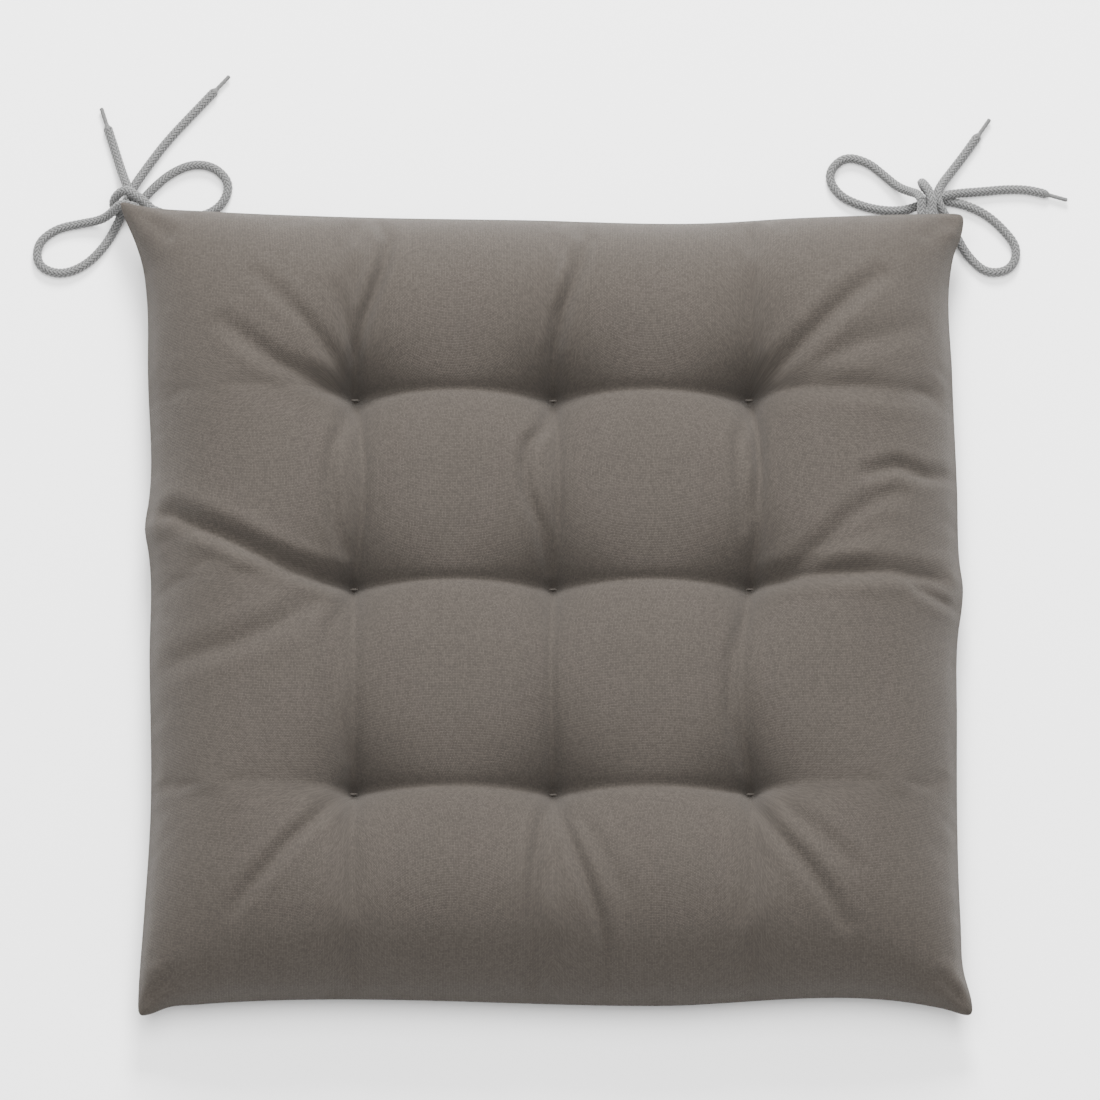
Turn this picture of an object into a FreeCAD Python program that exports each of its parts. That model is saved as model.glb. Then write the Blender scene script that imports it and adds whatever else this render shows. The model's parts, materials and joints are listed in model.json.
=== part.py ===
import FreeCAD, Part
import math
import os

# Tufted chair seat pad with two tie cords at its back corners. Sizes are in millimetres.
# The origin is at the centre of the underside, on the surface that the pad lies on.
# +X is to the right and +Y to the back, where the ties are, and +Z is up.

# Pad outline: four sides that pull in between the corners
PAD_WIDTH = 400.0  # across the waist, between the left and right edges
PAD_DEPTH = 400.0  # across the waist, between the front and back edges
CORNER_FLARE = 6.0  # how far each corner stands out past both waist lines
FLARE_LENGTH = 60.0  # stretch of each side, next to a corner, that curves outwards
CORNER_BLUNT = 4.0  # how far each corner is cut back along its diagonal

# Pad profile
SEAM_HEIGHT = 18.0  # the knife-edge seam above the resting surface
CROWN_HEIGHT = 58.0  # top of the fullest pillows
UNDERSIDE_SAG = 8.0  # how far the underside would bulge below the surface that flattens it
EDGE_ROUND = 70.0  # width of the rounding from the seam to the full height

# Tufts
TUFT_COLUMNS = {"left": -98.0, "middle": 0.0, "right": 97.0}
TUFT_ROWS = {"front": -97.0, "centre": 7.0, "back": 103.0}
TOP_PULL = 46.0  # how far a tuft pulls down the net of points that shapes the top
BOTTOM_PULL = 24.0  # how far it pulls up the net of the underside
TUFT_REACH = 20.0  # distance over which the pull falls to about a third
TUFT_STITCH = 4.0  # distance between the two needle holes of one tuft
TUFT_THREAD = 1.0
TUFT_BEND = 1.0  # radius at which the thread turns from a bar into a leg
TUFT_KNOT = 2.6
KNOT_BITE = 0.7  # how far the knot reaches up over the bar that it is tied on
NEEDLE_CLEARANCE = 0.3  # between a thread and the edge of its hole
BAR_CLEARANCE = 0.3  # between a stitch bar and the fabric under it

# Fabric and filling
FABRIC = 0.8
SEAM_RIDGE = 2.5  # doubled fabric along the knife edge
SEAM_ALLOWANCE = 10.0
FILL_GAP = 0.3
FILL_RIM_GAP = 1.5  # more room where the filling thins out towards the seam
NET_PITCH = 10.0  # spacing of the net of points that shapes a panel
OVERCUT = 1.0  # how far a cutting block runs past what it cuts

# Stitching between the panels
SEAM_THREAD = 0.6
SEAM_THREAD_INSET = 1.4
THREAD_CLEARANCE = 0.05
CLOSING_LENGTH = 120.0  # the stretch in the middle of the front edge that is closed by hand
CLOSING_GAP = 0.5

# Tie cords
CORD = 4.7
STRAND_OFFSET = 2.5  # from the middle of an exit to each strand
EXIT_GAP = 4.0  # from the edge of the pad to the start of the free strands
RIGHT_EXIT_FROM_WAIST = 14.0  # the right exit, in from the right waist line
ANCHOR_WIDTH = 10.0
ANCHOR_LENGTH = 8.0
ANCHOR_THICKNESS = 2.0
ANCHOR_CLEARANCE = 0.1
TIP_DIAMETER = 2.0
TIP_LENGTH = 9.0
TIP_TAPER = 3.0

ARC_SHARE = 0.45  # part of a straight run that the arc at each of its ends may take
LYING = CORD / 2 + 0.05  # height of the middle of a cord that lies on the resting surface

# The route of each strand, as distances to the right of its exit, behind it, and above the resting surface.
# From its start at the exit a strand drops to the surface, makes its loop and runs out to its tail.
# The two strands of one bow share a knot, where they press into each other.
LEFT_EXIT_ANGLE = 135.0  # the left cord comes out of the corner itself
RIGHT_EXIT_ANGLE = 90.0  # the right cord comes straight out of the back edge
ROUTES = {
    "tie_left_strand_a": [
        (-8.8, 1.4, 15.6),
        (-12.2, -0.8, 10.0),
        (-18.6, -4.6, 4.6),
        (-29.4, -6.0, LYING),
        (-41.8, -8.6, LYING),
        (-51.4, -16.6, LYING),
        (-50.6, -28.4, LYING),
        (-38.8, -32.6, LYING),
        (-26.4, -27.4, LYING),
        (-17.0, -17.2, LYING),
        (-11.4, -7.0, 2.6),
        (-7.6, 2.0, 5.4),
        (-4.0, 11.2, 5.0),
        (2.8, 22.2, 2.8),
        (12.6, 36.0, LYING),
        (24.8, 49.6, LYING),
        (36.2, 62.0, LYING),
    ],
    "tie_left_strand_b": [
        (-4.4, 7.4, 17.2),
        (-9.8, 7.4, 14.2),
        (-13.6, 3.4, 9.4),
        (-11.8, -1.4, 4.8),
        (-5.0, -0.4, LYING),
        (0.8, 5.8, LYING),
        (7.0, 13.0, LYING),
        (15.6, 20.4, LYING),
        (26.6, 25.2, LYING),
        (37.8, 23.2, LYING),
        (45.2, 14.2, LYING),
        (40.8, 3.0, LYING),
        (30.6, -2.6, LYING),
        (18.8, -2.8, LYING),
        (8.2, -0.2, 4.6),
        (-0.4, 3.4, 8.0),
        (-5.6, 10.2, 7.0),
        (-9.2, 20.4, 3.4),
        (-12.8, 32.2, LYING),
        (-16.2, 42.8, LYING),
    ],
    "tie_right_strand_a": [
        (-3.6, 4.2, 15.0),
        (-7.4, 7.0, 9.0),
        (-13.8, 10.8, 4.0),
        (-21.0, 17.6, LYING),
        (-29.2, 24.6, LYING),
        (-41.0, 27.4, LYING),
        (-49.4, 17.8, LYING),
        (-43.6, 6.8, LYING),
        (-31.0, 1.2, LYING),
        (-20.0, -0.9, LYING),
        (-10.5, -0.8, 2.8),
        (-2.2, 1.6, 5.6),
        (5.6, 5.2, 6.6),
        (15.4, 7.8, 4.0),
        (28.5, 9.2, LYING),
        (41.0, 10.4, LYING),
        (52.6, 10.0, LYING),
        (59.2, 8.0, LYING),
    ],
    "tie_right_strand_b": [
        (1.6, 4.8, 17.4),
        (-1.0, 9.6, 14.2),
        (-2.6, 12.6, 8.6),
        (-0.2, 9.8, 3.2),
        (7.0, 4.8, LYING),
        (18.0, 2.8, LYING),
        (28.8, -1.8, LYING),
        (37.8, -9.6, LYING),
        (46.0, -20.4, LYING),
        (42.2, -31.6, LYING),
        (29.8, -33.4, LYING),
        (20.2, -24.0, LYING),
        (14.4, -12.8, 3.2),
        (8.6, -3.0, 7.0),
        (5.0, 4.2, 8.4),
        (7.0, 11.0, 5.4),
        (13.4, 20.0, 2.6),
        (20.4, 29.4, LYING),
        (25.6, 37.0, LYING),
    ],
}


def corner_flare(distance):
    """How far a side stands out, at a distance along it from the corner."""
    return CORNER_FLARE * max(0.0, 1.0 - distance / FLARE_LENGTH) ** 2


def plan_point(across, along, inset):
    """A point of the pad's plan from two shares between -1 and 1, with the whole outline moved in by inset."""
    half_width = PAD_WIDTH / 2 - inset
    half_depth = PAD_DEPTH / 2 - inset
    x = across * (half_width + corner_flare(half_depth * (1 - abs(along))))
    y = along * (half_depth + corner_flare(half_width * (1 - abs(across))))
    return x, y


def rounding(distance):
    """Share of the full height at a distance in from the seam."""
    return math.sqrt(max(0.0, 1.0 - max(0.0, 1.0 - distance / EDGE_ROUND) ** 2))


def tuft_share(x, y):
    """Share of the tufts' pull that is felt at a point."""
    share = 0.0
    for tuft_x in TUFT_COLUMNS.values():
        for tuft_y in TUFT_ROWS.values():
            share += math.exp(-math.hypot(x - tuft_x, y - tuft_y) / TUFT_REACH)
    return share


def net_shares(half_length):
    """Places of the net's lines across one half length, closer near the edge, as shares between -1 and 1."""
    spans = max(4, round(2 * half_length / NET_PITCH))
    knots = [0.0] * 3 + [k / spans for k in range(spans + 1)] + [1.0] * 3
    shares = [2 * sum(knots[i + 1 : i + 4]) / 3 - 1 for i in range(spans + 3)]
    return shares, spans


def skin(inset, rim, crown, pull):
    """A curved panel between the four sides: at height rim along the outline, rising or falling to crown."""
    across_shares, across_spans = net_shares(PAD_WIDTH / 2)
    along_shares, along_spans = net_shares(PAD_DEPTH / 2)
    net = []
    for across in across_shares:
        row = []
        for along in along_shares:
            x, y = plan_point(across, along, inset)
            edge = rounding((1 - abs(across)) * (PAD_WIDTH / 2 - inset))
            edge *= rounding((1 - abs(along)) * (PAD_DEPTH / 2 - inset))
            z = rim + edge * (crown - rim - pull * tuft_share(x, y))
            row.append(FreeCAD.Vector(x, y, z))
        net.append(row)
    surface = Part.BSplineSurface()
    surface.buildFromPolesMultsKnots(
        net,
        [4] + [1] * (across_spans - 1) + [4],
        [4] + [1] * (along_spans - 1) + [4],
        [k / across_spans for k in range(across_spans + 1)],
        [k / along_spans for k in range(along_spans + 1)],
        False,
        False,
        3,
        3,
    )
    return surface.toShape()


def blunted(solid, inset):
    """Cuts the four corners of a solid back, in line with its outline moved in by inset."""
    tip = (PAD_WIDTH / 2 + PAD_DEPTH / 2 + 2 * CORNER_FLARE) / math.sqrt(2)
    reach = PAD_WIDTH + PAD_DEPTH
    for angle in (45, 135, 225, 315):
        block = Part.makeBox(reach, 2 * reach, 2 * reach, FreeCAD.Vector(0, -reach, -reach))
        block.translate(FreeCAD.Vector(tip - CORNER_BLUNT - inset, 0, 0))
        block.rotate(FreeCAD.Vector(0, 0, 0), FreeCAD.Vector(0, 0, 1), angle)
        solid = solid.cut(block)
    return solid


def outline_face(inset, height):
    """The flat area inside the pad's outline moved in by inset."""
    flat = skin(inset, height, height, 0.0)
    return Part.Face(Part.Wire(Part.__sortEdges__(flat.Edges)))


def prism(inset, low, high):
    """A block with the pad's outline moved in by inset."""
    return outline_face(inset, low).extrude(FreeCAD.Vector(0, 0, high - low))


def domed(inset, rim, crown, pull):
    """A closed solid between a curved panel and the flat area inside its rim."""
    panel = skin(inset, rim, crown, pull)
    base = Part.Face(Part.Wire(Part.__sortEdges__(panel.Edges)))
    solid = Part.Solid(Part.Shell([panel, base]))
    if solid.Volume < 0:
        solid.reverse()
    return blunted(solid, inset)


def above(solid, height):
    """The part of a solid above a height, cut flat."""
    reach = PAD_WIDTH + PAD_DEPTH
    slab = Part.makeBox(2 * reach, 2 * reach, reach, FreeCAD.Vector(-reach, -reach, height - reach))
    return solid.cut(slab)


def tufts():
    """Name and place of each tuft."""
    for row_name, y in TUFT_ROWS.items():
        for column_name, x in TUFT_COLUMNS.items():
            yield f"{row_name}_{column_name}", x, y


def needle_holes():
    """Straight holes through the pad for both legs of every tuft stitch."""
    radius = TUFT_THREAD / 2 + NEEDLE_CLEARANCE
    below = UNDERSIDE_SAG + TUFT_KNOT
    for _, x, y in tufts():
        for side in (-0.5, 0.5):
            start = FreeCAD.Vector(x + side * TUFT_STITCH, y, -below)
            yield Part.makeCylinder(radius, CROWN_HEIGHT + 2 * below, start)


def seam_ring(clearance):
    """The band that the seam thread lies in, half in each panel's allowance."""
    outer = SEAM_THREAD_INSET + SEAM_RIDGE - clearance
    inner = outer + SEAM_THREAD + 2 * clearance
    low = SEAM_HEIGHT - SEAM_THREAD / 2 - clearance
    high = SEAM_HEIGHT + SEAM_THREAD / 2 + clearance
    return prism(outer, low, high).cut(prism(inner, low - OVERCUT, high + OVERCUT))


def exits():
    """Place on the pad's edge and outward direction, in degrees, of each tie cord."""
    back = CORNER_BLUNT / math.sqrt(2)
    left_x = -PAD_WIDTH / 2 - CORNER_FLARE + back
    left = FreeCAD.Vector(left_x, PAD_DEPTH / 2 + CORNER_FLARE - back, SEAM_HEIGHT)
    right_x = PAD_WIDTH / 2 - RIGHT_EXIT_FROM_WAIST
    flare = corner_flare(RIGHT_EXIT_FROM_WAIST)
    right = FreeCAD.Vector(right_x, PAD_DEPTH / 2 + flare, SEAM_HEIGHT)
    return {"left": (left, LEFT_EXIT_ANGLE), "right": (right, RIGHT_EXIT_ANGLE)}


def anchor_block(side, clearance, reach_out):
    """The flattened cord end between the allowances, or the notch for it, which runs out past the edge."""
    place, angle = exits()[side]
    length = ANCHOR_LENGTH + SEAM_RIDGE + clearance + reach_out
    width = ANCHOR_WIDTH + 2 * clearance
    thickness = ANCHOR_THICKNESS + 2 * clearance
    block = Part.makeBox(length, width, thickness)
    inner_end = -ANCHOR_LENGTH - SEAM_RIDGE - clearance
    block.translate(FreeCAD.Vector(inner_end, -width / 2, -thickness / 2))
    block.rotate(FreeCAD.Vector(0, 0, 0), FreeCAD.Vector(0, 0, 1), angle)
    block.translate(place)
    return block


def cut_openings(solid):
    """Removes what passes through a panel: the needle holes, the seam thread's groove and the cord notches."""
    solid = solid.cut(seam_ring(THREAD_CLEARANCE))
    for side in exits():
        solid = solid.cut(anchor_block(side, ANCHOR_CLEARANCE, EXIT_GAP))
    for hole in needle_holes():
        solid = solid.cut(hole)
    return solid


def top_cover():
    """Upper panel with its seam allowance turned inwards along the seam."""
    outer = domed(0.0, SEAM_HEIGHT, CROWN_HEIGHT, TOP_PULL)
    rim = SEAM_HEIGHT + FABRIC
    hollow = domed(SEAM_RIDGE, rim, CROWN_HEIGHT - FABRIC, TOP_PULL)
    opening = prism(SEAM_RIDGE + SEAM_ALLOWANCE, SEAM_HEIGHT - OVERCUT, rim + OVERCUT)
    return cut_openings(outer.cut(hollow.fuse(opening)))


def bottom_cover():
    """Lower panel, flattened by the surface that it lies on, with its allowance turned inwards."""
    outer = above(domed(0.0, SEAM_HEIGHT, -UNDERSIDE_SAG, -BOTTOM_PULL), 0.0)
    rim = SEAM_HEIGHT - FABRIC
    hollow = above(domed(SEAM_RIDGE, rim, FABRIC - UNDERSIDE_SAG, -BOTTOM_PULL), FABRIC)
    opening = prism(SEAM_RIDGE + SEAM_ALLOWANCE, rim - OVERCUT, SEAM_HEIGHT + OVERCUT)
    return cut_openings(outer.cut(hollow.fuse(opening)))


def filling():
    """Fibre that fills the covers, waisted where the seam allowances run round it."""
    gap = FABRIC + FILL_GAP
    inset = SEAM_RIDGE + FILL_RIM_GAP + FILL_GAP
    upper = domed(inset, SEAM_HEIGHT + gap, CROWN_HEIGHT - gap, TOP_PULL)
    lower = above(domed(inset, SEAM_HEIGHT - gap, gap - UNDERSIDE_SAG, -BOTTOM_PULL), gap)
    reach = gap + OVERCUT
    waist = prism(SEAM_RIDGE + SEAM_ALLOWANCE + FILL_GAP, SEAM_HEIGHT - reach, SEAM_HEIGHT + reach)
    body = upper.fuse([lower, waist])
    for side in exits():
        body = body.cut(anchor_block(side, FILL_GAP, EXIT_GAP))
    for hole in needle_holes():
        body = body.cut(hole)
    return body


def skin_height(panel, x, y):
    """Height of a curved panel on the upright line through a place."""
    line = Part.makeLine(FreeCAD.Vector(x, y, -CROWN_HEIGHT), FreeCAD.Vector(x, y, 2 * CROWN_HEIGHT))
    nearest = line.distToShape(panel)[1][0]
    return nearest[0].z


def rounded_loop(corners, bend):
    """A closed path of straight runs through the corners of a flat rectangle, with a quarter circle at each."""
    edges = []
    for before, corner, after in zip(corners[-1:] + corners[:-1], corners, corners[1:] + corners[:1]):
        run_in = (corner - before).normalize()
        run_out = (after - corner).normalize()
        arc_start = corner - run_in * bend
        arc_end = corner + run_out * bend
        centre = arc_start + run_out * bend
        arc_middle = centre - (run_out - run_in).normalize() * bend
        edges.append(Part.Arc(arc_start, arc_middle, arc_end).toShape())
        edges.append(Part.LineSegment(arc_end, after - run_out * bend).toShape())
    return Part.Wire(edges[1:] + edges[:1])


def tuft_thread(upper, lower, x, y):
    """One stitch through the pad: a bar on top, two legs, a bar underneath and its knot."""
    radius = TUFT_THREAD / 2
    high = skin_height(upper, x, y) + BAR_CLEARANCE + radius
    low = skin_height(lower, x, y) - BAR_CLEARANCE - radius
    left = x - TUFT_STITCH / 2
    right = x + TUFT_STITCH / 2
    corners = [(left, low), (right, low), (right, high), (left, high)]
    path = rounded_loop([FreeCAD.Vector(px, y, pz) for px, pz in corners], TUFT_BEND)
    start = path.Edges[0].Vertexes[0].Point
    circle = Part.makeCircle(radius, start, FreeCAD.Vector(1, 0, 0))
    loop = path.makePipeShell([Part.Wire(circle)], True, False)
    knot = Part.makeSphere(TUFT_KNOT / 2, FreeCAD.Vector(x, y, low - TUFT_KNOT / 2 - radius + KNOT_BITE))
    return loop.fuse(knot)


def closing_box(margin):
    """The stretch of the front edge that is closed by hand."""
    width = CLOSING_LENGTH - 2 * margin
    depth = 2 * (SEAM_RIDGE + SEAM_ALLOWANCE)
    corner = FreeCAD.Vector(-width / 2, -PAD_DEPTH / 2 - depth / 2, SEAM_HEIGHT - depth / 2)
    return Part.makeBox(width, depth, depth, corner)


def turn_between(before, point, after):
    """Angle in radians by which a route turns at a point."""
    return (point - before).getAngle(after - point)


def cord_path(name, points):
    """Straight runs joined by tangent arcs, each arc as large as its two runs allow."""
    edges = []
    radii = []
    start = points[0]
    for before, point, after in zip(points, points[1:], points[2:]):
        run_in = point - before
        run_out = after - point
        tangent = ARC_SHARE * min(run_in.Length, run_out.Length)
        turn = turn_between(before, point, after)
        radii.append(tangent / math.tan(turn / 2))
        arc_start = point - run_in.normalize() * tangent
        arc_end = point + run_out.normalize() * tangent
        bisector = (arc_start + arc_end) * 0.5 - point
        depth = radii[-1] / math.cos(turn / 2) - radii[-1]
        arc_middle = point + bisector.normalize() * depth
        edges.append(Part.LineSegment(start, arc_start).toShape())
        edges.append(Part.Arc(arc_start, arc_middle, arc_end).toShape())
        start = arc_end
    edges.append(Part.LineSegment(start, points[-1]).toShape())
    print(name, "radii", " ".join(f"{radius:.1f}" for radius in radii))
    return Part.Wire(edges)


def cord_tube(name, points):
    """The round cord along its path, checked by its volume."""
    path = cord_path(name, points)
    circle = Part.makeCircle(CORD / 2, points[0], points[1] - points[0])
    tube = path.makePipeShell([Part.Wire(circle)], True, False)
    expected = path.Length * math.pi * CORD**2 / 4
    print(f"{name} length {path.Length:.1f}, volume {tube.Volume / expected:.4f} of section times length")
    return tube


def cord_tip(points):
    """The sealed end of a strand: a short taper, then a thin stiff point."""
    end = points[-1]
    along = (points[-1] - points[-2]).normalize()
    taper = Part.makeCone(CORD / 2, TIP_DIAMETER / 2, TIP_TAPER, end, along)
    point = Part.makeCylinder(TIP_DIAMETER / 2, TIP_LENGTH, end + along * TIP_TAPER, along)
    return taper.fuse(point)


def tie_pieces():
    """Both bows: for each strand its free cord and its tip, placed from the exit that it belongs to."""
    for side, (place, angle) in exits().items():
        outward = FreeCAD.Vector(math.cos(math.radians(angle)), math.sin(math.radians(angle)), 0)
        pivot = place + outward * EXIT_GAP
        print(f"tie_{side} swings about", round(pivot.x, 4), round(pivot.y, 4))
        aside = FreeCAD.Vector(-outward.y, outward.x, 0) * STRAND_OFFSET
        for strand, start in (("a", pivot + aside), ("b", pivot - aside)):
            name = f"tie_{side}_strand_{strand}"
            points = [start] + [FreeCAD.Vector(pivot.x + dx, pivot.y + dy, z) for dx, dy, z in ROUTES[name]]
            yield name, cord_tube(name, points)
            yield f"tie_{side}_tip_{strand}", cord_tip(points)


def make_parts():
    """Every node of the pad by name."""
    parts = {"top_cover": top_cover(), "bottom_cover": bottom_cover(), "filling": filling()}
    upper = skin(0.0, SEAM_HEIGHT, CROWN_HEIGHT, TOP_PULL)
    lower = skin(0.0, SEAM_HEIGHT, -UNDERSIDE_SAG, -BOTTOM_PULL)
    for name, x, y in tufts():
        parts[f"tuft_thread_{name}"] = tuft_thread(upper, lower, x, y)
    ring = seam_ring(0.0)
    for side in exits():
        ring = ring.cut(anchor_block(side, ANCHOR_CLEARANCE, EXIT_GAP))
    parts["seam_thread"] = ring.cut(closing_box(-CLOSING_GAP))
    parts["closing_thread"] = ring.common(closing_box(0.0))
    for side in exits():
        parts[f"tie_{side}_anchor"] = anchor_block(side, 0.0, 0.0)
    for name, shape in tie_pieces():
        parts[name] = shape
    return parts


os.makedirs("parts", exist_ok=True)
for node, shape in make_parts().items():
    if len(shape.Solids) == 1:
        shape = shape.Solids[0]
    print(node, shape.ShapeType, len(shape.Solids), "valid" if shape.isValid() else "INVALID", round(shape.Volume, 1))
    shape.exportStep(f"parts/{node}.step")
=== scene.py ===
import json
import math
from functools import partial

import bpy
import numpy as np
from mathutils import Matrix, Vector, noise


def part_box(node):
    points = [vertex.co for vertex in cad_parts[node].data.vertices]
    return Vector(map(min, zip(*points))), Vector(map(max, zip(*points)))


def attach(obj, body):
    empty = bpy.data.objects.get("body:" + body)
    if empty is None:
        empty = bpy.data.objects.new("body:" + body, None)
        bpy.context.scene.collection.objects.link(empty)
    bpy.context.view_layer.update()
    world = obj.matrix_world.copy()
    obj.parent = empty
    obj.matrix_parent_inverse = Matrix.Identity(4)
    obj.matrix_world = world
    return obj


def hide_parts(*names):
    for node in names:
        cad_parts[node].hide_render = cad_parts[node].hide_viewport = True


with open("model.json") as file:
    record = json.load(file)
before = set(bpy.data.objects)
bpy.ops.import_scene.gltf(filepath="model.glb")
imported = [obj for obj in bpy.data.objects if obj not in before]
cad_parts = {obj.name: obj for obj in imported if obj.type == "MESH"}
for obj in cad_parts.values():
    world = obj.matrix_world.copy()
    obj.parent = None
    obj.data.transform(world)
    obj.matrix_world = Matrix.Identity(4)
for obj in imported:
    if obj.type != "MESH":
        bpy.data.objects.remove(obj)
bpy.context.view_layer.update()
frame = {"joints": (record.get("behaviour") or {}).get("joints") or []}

# A tufted chair seat pad with two tie cords. Everything is in metres, in the frame of the CAD model:
# the origin is at the centre of the underside, +X to the right, +Y to the back where the ties are, +Z up.

MM = 0.001
TINY = 1e-9  # keeps a division off zero

# Places read from the frame
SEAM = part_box("top_cover")[0].z  # height of the knife edge
TUFT_COLUMNS = ("left", "middle", "right")
TUFT_ROWS = ("front", "centre", "back")


def node_middle(node):
    """Middle of a CAD node's box."""
    low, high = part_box(node)
    return (low + high) / 2


TUFT_X = [node_middle(f"tuft_thread_centre_{column}").x for column in TUFT_COLUMNS]
TUFT_Y = [node_middle(f"tuft_thread_{row}_middle").y for row in TUFT_ROWS]
PIVOTS = {joint["child"]: Vector(joint["pos_m"]) for joint in frame["joints"]}

# View
VIEW_ELEVATION = math.radians(76)
VIEW_DISTANCE = 6.0
VIEW_WIDTH = 0.5434  # width of what the camera sees at the pad
VIEW_TARGET = Vector((-0.0015, 0.0285, SEAM))

# Tie cords, whose routes repeat the CAD model's
CORD = 4.7 * MM  # diameter over the braid
STRAND_OFFSET = 2.5 * MM  # from the middle of an exit to each strand
LYING = 0.0024  # height of the middle of a cord that lies on the resting surface
OUTWARD = {"tie_left": Vector((-1, 1, 0)).normalized(), "tie_right": Vector((0, 1, 0))}

# The route of each strand from its start at the exit, as distances to the right of its exit, behind it,
# and above the resting surface
ROUTES = {
    "tie_left_strand_a": [
        (-0.0088, 0.0014, 0.0156), (-0.0122, -0.0008, 0.0100), (-0.0186, -0.0046, 0.0046),
        (-0.0294, -0.0060, LYING), (-0.0418, -0.0086, LYING), (-0.0514, -0.0166, LYING),
        (-0.0506, -0.0284, LYING), (-0.0388, -0.0326, LYING), (-0.0264, -0.0274, LYING),
        (-0.0170, -0.0172, LYING), (-0.0114, -0.0070, 0.0026), (-0.0076, 0.0020, 0.0054),
        (-0.0040, 0.0112, 0.0050), (0.0028, 0.0222, 0.0028), (0.0126, 0.0360, LYING),
        (0.0248, 0.0496, LYING), (0.0362, 0.0620, LYING),
    ],
    "tie_left_strand_b": [
        (-0.0044, 0.0074, 0.0172), (-0.0098, 0.0074, 0.0142), (-0.0136, 0.0034, 0.0094),
        (-0.0118, -0.0014, 0.0048), (-0.0050, -0.0004, LYING), (0.0008, 0.0058, LYING),
        (0.0070, 0.0130, LYING), (0.0156, 0.0204, LYING), (0.0266, 0.0252, LYING),
        (0.0378, 0.0232, LYING), (0.0452, 0.0142, LYING), (0.0408, 0.0030, LYING),
        (0.0306, -0.0026, LYING), (0.0188, -0.0028, LYING), (0.0082, -0.0002, 0.0046),
        (-0.0004, 0.0034, 0.0080), (-0.0056, 0.0102, 0.0070), (-0.0092, 0.0204, 0.0034),
        (-0.0128, 0.0322, LYING), (-0.0162, 0.0428, LYING),
    ],
    "tie_right_strand_a": [
        (-0.0036, 0.0042, 0.0150), (-0.0074, 0.0070, 0.0090), (-0.0138, 0.0108, 0.0040),
        (-0.0210, 0.0176, LYING), (-0.0292, 0.0246, LYING), (-0.0410, 0.0274, LYING),
        (-0.0494, 0.0178, LYING), (-0.0436, 0.0068, LYING), (-0.0310, 0.0012, LYING),
        (-0.0200, -0.0009, LYING), (-0.0105, -0.0008, 0.0028), (-0.0022, 0.0016, 0.0056),
        (0.0056, 0.0052, 0.0066), (0.0154, 0.0078, 0.0040), (0.0285, 0.0092, LYING),
        (0.0410, 0.0104, LYING), (0.0526, 0.0100, LYING), (0.0592, 0.0080, LYING),
    ],
    "tie_right_strand_b": [
        (0.0016, 0.0048, 0.0174), (-0.0010, 0.0096, 0.0142), (-0.0026, 0.0126, 0.0086),
        (-0.0002, 0.0098, 0.0032), (0.0070, 0.0048, LYING), (0.0180, 0.0028, LYING),
        (0.0288, -0.0018, LYING), (0.0378, -0.0096, LYING), (0.0460, -0.0204, LYING),
        (0.0422, -0.0316, LYING), (0.0298, -0.0334, LYING), (0.0202, -0.0240, LYING),
        (0.0144, -0.0128, 0.0032), (0.0086, -0.0030, 0.0070), (0.0050, 0.0042, 0.0084),
        (0.0070, 0.0110, 0.0054), (0.0134, 0.0200, 0.0026), (0.0204, 0.0294, LYING),
        (0.0256, 0.0370, LYING),
    ],
}

# Braid
CARRIERS = 8  # yarns that wind each way
BRAID_PITCH = 2.1 * MM  # length of one zigzag of the braid
YARN_RELIEF = 0.44 * MM  # how far a yarn stands out between its ducks under the others
YARN_FLATNESS = 0.6  # powers under 1 that flatten a yarn's top, across it
YARN_EVENNESS = 0.35  # and along it
RING_STEP = 0.3 * MM  # between the rings of a cord's mesh
RING_POINTS = 40
ROUTE_POINTS = 24  # points on a route's spline for each of its control points

# Cord ends
TIP_TAPER = 3.0 * MM
TIP_LENGTH = 9.0 * MM
TIP_DIAMETER = 2.0 * MM
TIP_TWIST = 2.4 * MM  # length of the faint spiral left on a tip
TIP_RIDGES = 3
TIP_RIDGE = 0.05  # height of its ridges, as a share of the tip's radius
TIP_NOSE = 0.7 * MM  # length of its rounded end
ANCHOR_REACH = 13.0 * MM  # how far the flattened cord runs in between the panels
ANCHOR_ROUND = 12.0 * MM  # length over which it turns round again
ANCHOR_LAP = 0.3 * MM  # how far it meets the free strands
ANCHOR_WIDENING = 0.12  # how much wider than round it is where it is pressed flat
ANCHOR_LOWERING = 0.58  # and how much lower


def make_camera():
    """A long lens that looks down on the pad from in front."""
    data = bpy.data.cameras.new("camera")
    data.lens = data.sensor_width * VIEW_DISTANCE / VIEW_WIDTH
    data.clip_end = 100
    camera = bpy.data.objects.new("camera", data)
    bpy.context.scene.collection.objects.link(camera)
    back = Vector((0, -math.cos(VIEW_ELEVATION), math.sin(VIEW_ELEVATION)))
    camera.location = VIEW_TARGET + VIEW_DISTANCE * back
    camera.rotation_euler = (math.pi / 2 - VIEW_ELEVATION, 0, 0)
    bpy.context.scene.camera = camera


def new_object(name, verts, faces, uvs=None):
    """A smooth-shaded mesh object, with texture coordinates per vertex if they are given."""
    mesh = bpy.data.meshes.new(name)
    mesh.from_pydata([tuple(v) for v in verts], [], [tuple(f) for f in faces])
    mesh.polygons.foreach_set("use_smooth", [True] * len(mesh.polygons))
    if uvs is not None:
        corner_vertices = np.empty(len(mesh.loops), int)
        mesh.loops.foreach_get("vertex_index", corner_vertices)
        layer = mesh.uv_layers.new(name="cloth")
        layer.data.foreach_set("uv", np.asarray(uvs)[corner_vertices].ravel())
    mesh.update()
    piece = bpy.data.objects.new(name, mesh)
    bpy.context.scene.collection.objects.link(piece)
    return piece


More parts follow.
